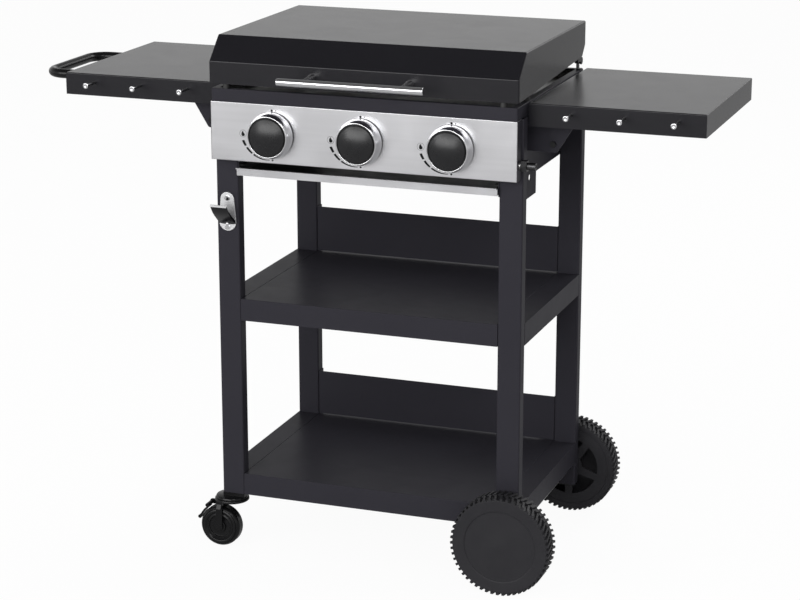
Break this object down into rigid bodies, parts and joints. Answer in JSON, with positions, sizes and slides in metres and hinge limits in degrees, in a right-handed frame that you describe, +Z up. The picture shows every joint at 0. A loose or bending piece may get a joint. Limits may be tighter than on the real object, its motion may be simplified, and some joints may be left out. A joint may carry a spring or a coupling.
{
  "type": "gas griddle",
  "caption": "Gas griddle on a wheeled cart, with a hinged lid over the cooking plate, a knob panel, drip tray, side shelves with tool hooks, and storage shelves.",
  "frame": {"origin": "on the floor, under the middle of the four legs", "axes": "+X to the right as seen from the control panel, +Y to the back, +Z up"},
  "size_m": [1.316, 0.5451, 0.9875],
  "materials": {
    "black_paint": "semi-gloss powder coat",
    "stainless": "brushed stainless",
    "chrome": "polished",
    "plate_iron": "seasoned, satin",
    "zinc_steel": "zinc plated",
    "brass": "machined",
    "knob_plastic": "gloss",
    "wheel_plastic": "satin",
    "caster_plastic": "satin",
    "caster_tread": "satin",
    "rubber": "matte",
    "ceramic": "glazed"
  },
  "bodies": {
    "cart": {"leg_front_left": "black_paint", "leg_front_right": "black_paint", "leg_rear_left": "black_paint", "leg_rear_right": "black_paint", "side_rails": "black_paint", "mid_shelf": "black_paint", "low_shelf": "black_paint", "mid_guard": "black_paint", "low_guard": "black_paint", "side_plates": "black_paint", "top_frame": "black_paint", "firebox": "black_paint", "side_shelf_left": "black_paint", "side_shelf_right": "black_paint", "shelf_arms": "black_paint", "shelf_gussets": "black_paint", "push_handle": "black_paint", "cart_bolts": "black_paint", "bracket_bolts": "black_paint", "tray_runners": "black_paint", "control_panel": "stainless", "burners": "stainless", "tool_hooks": "chrome", "bottle_opener": "chrome", "opener_screws": "chrome", "griddle_plate": "plate_iron", "manifold": "zinc_steel", "manifold_clamps": "zinc_steel", "gas_inlet": "zinc_steel", "lid_hinge_brackets": "zinc_steel", "lid_hinge_pins": "zinc_steel", "axle": "zinc_steel", "axle_spacers": "zinc_steel", "gas_valves": "brass", "leg_plugs": "caster_plastic", "lid_bumpers": "rubber", "igniters": "ceramic"},
    "lid": {"lid": "black_paint", "lid_handle": "chrome", "lid_handle_posts": "chrome", "lid_hinge_arms": "zinc_steel"},
    "tray": {"drip_tray": "black_paint", "tray_front": "stainless"},
    "stem_left": {"valve_stem_left": "zinc_steel"},
    "knob_left": {"knob_left": "chrome", "knob_cap_left": "knob_plastic"},
    "stem_middle": {"valve_stem_middle": "zinc_steel"},
    "knob_middle": {"knob_middle": "chrome", "knob_cap_middle": "knob_plastic"},
    "stem_right": {"valve_stem_right": "zinc_steel"},
    "knob_right": {"knob_right": "chrome", "knob_cap_right": "knob_plastic"},
    "wheel_front": {"road_wheel_front": "wheel_plastic"},
    "fork_front": {"caster_fork_front": "caster_plastic"},
    "caster_wheel_front": {"caster_wheel_front": "caster_tread"},
    "brake_front": {"caster_brake_front": "caster_plastic"},
    "wheel_rear": {"road_wheel_rear": "wheel_plastic"},
    "fork_rear": {"caster_fork_rear": "caster_plastic"},
    "caster_wheel_rear": {"caster_wheel_rear": "caster_tread"},
    "brake_rear": {"caster_brake_rear": "caster_plastic"}
  },
  "joints": [
    {"name": "lid_hinge", "type": "hinge", "parent": "cart", "child": "lid", "pos_m": [0, 0.178, 0.914], "axis": [-1, 0, 0], "range_deg": [0, 95]},
    {"name": "tray_slide", "type": "slide", "parent": "cart", "child": "tray", "axis": [0, -1, 0], "range_m": [0, 0.3]},
    {"name": "stem_push_left", "type": "slide", "parent": "cart", "child": "stem_left", "axis": [0, 1, 0], "range_m": [0, 0.003], "stiffness_N_per_m": 1500, "springref_m": -0.002},
    {"name": "knob_turn_left", "type": "hinge", "parent": "stem_left", "child": "knob_left", "pos_m": [-0.17, -0.25, 0.818], "axis": [0, -1, 0], "range_deg": [0, 180]},
    {"name": "stem_push_middle", "type": "slide", "parent": "cart", "child": "stem_middle", "axis": [0, 1, 0], "range_m": [0, 0.003], "stiffness_N_per_m": 1500, "springref_m": -0.002},
    {"name": "knob_turn_middle", "type": "hinge", "parent": "stem_middle", "child": "knob_middle", "pos_m": [0, -0.25, 0.818], "axis": [0, -1, 0], "range_deg": [0, 180]},
    {"name": "stem_push_right", "type": "slide", "parent": "cart", "child": "stem_right", "axis": [0, 1, 0], "range_m": [0, 0.003], "stiffness_N_per_m": 1500, "springref_m": -0.002},
    {"name": "knob_turn_right", "type": "hinge", "parent": "stem_right", "child": "knob_right", "pos_m": [0.17, -0.25, 0.818], "axis": [0, -1, 0], "range_deg": [0, 180]},
    {"name": "wheel_front_spin", "type": "hinge", "parent": "cart", "child": "wheel_front", "pos_m": [0.27325, -0.23135, 0.0935], "axis": [0, 1, 0], "continuous": true},
    {"name": "caster_front_swivel", "type": "hinge", "parent": "cart", "child": "fork_front", "pos_m": [-0.27175, -0.191, 0.1], "axis": [0, 0, 1], "continuous": true},
    {"name": "caster_front_roll", "type": "hinge", "parent": "fork_front", "child": "caster_wheel_front", "pos_m": [-0.303, -0.191, 0.04], "axis": [0, 1, 0], "continuous": true},
    {"name": "brake_front_release", "type": "hinge", "parent": "fork_front", "child": "brake_front", "pos_m": [-0.33, -0.191, 0.078], "axis": [0, 1, 0], "range_deg": [0, 10]},
    {"name": "wheel_rear_spin", "type": "hinge", "parent": "cart", "child": "wheel_rear", "pos_m": [0.27325, 0.23135, 0.0935], "axis": [0, 1, 0], "continuous": true},
    {"name": "caster_rear_swivel", "type": "hinge", "parent": "cart", "child": "fork_rear", "pos_m": [-0.27175, 0.191, 0.1], "axis": [0, 0, 1], "continuous": true},
    {"name": "caster_rear_roll", "type": "hinge", "parent": "fork_rear", "child": "caster_wheel_rear", "pos_m": [-0.303, 0.191, 0.04], "axis": [0, 1, 0], "continuous": true},
    {"name": "brake_rear_release", "type": "hinge", "parent": "fork_rear", "child": "brake_rear", "pos_m": [-0.33, 0.191, 0.078], "axis": [0, 1, 0], "range_deg": [0, 10]}
  ]
}
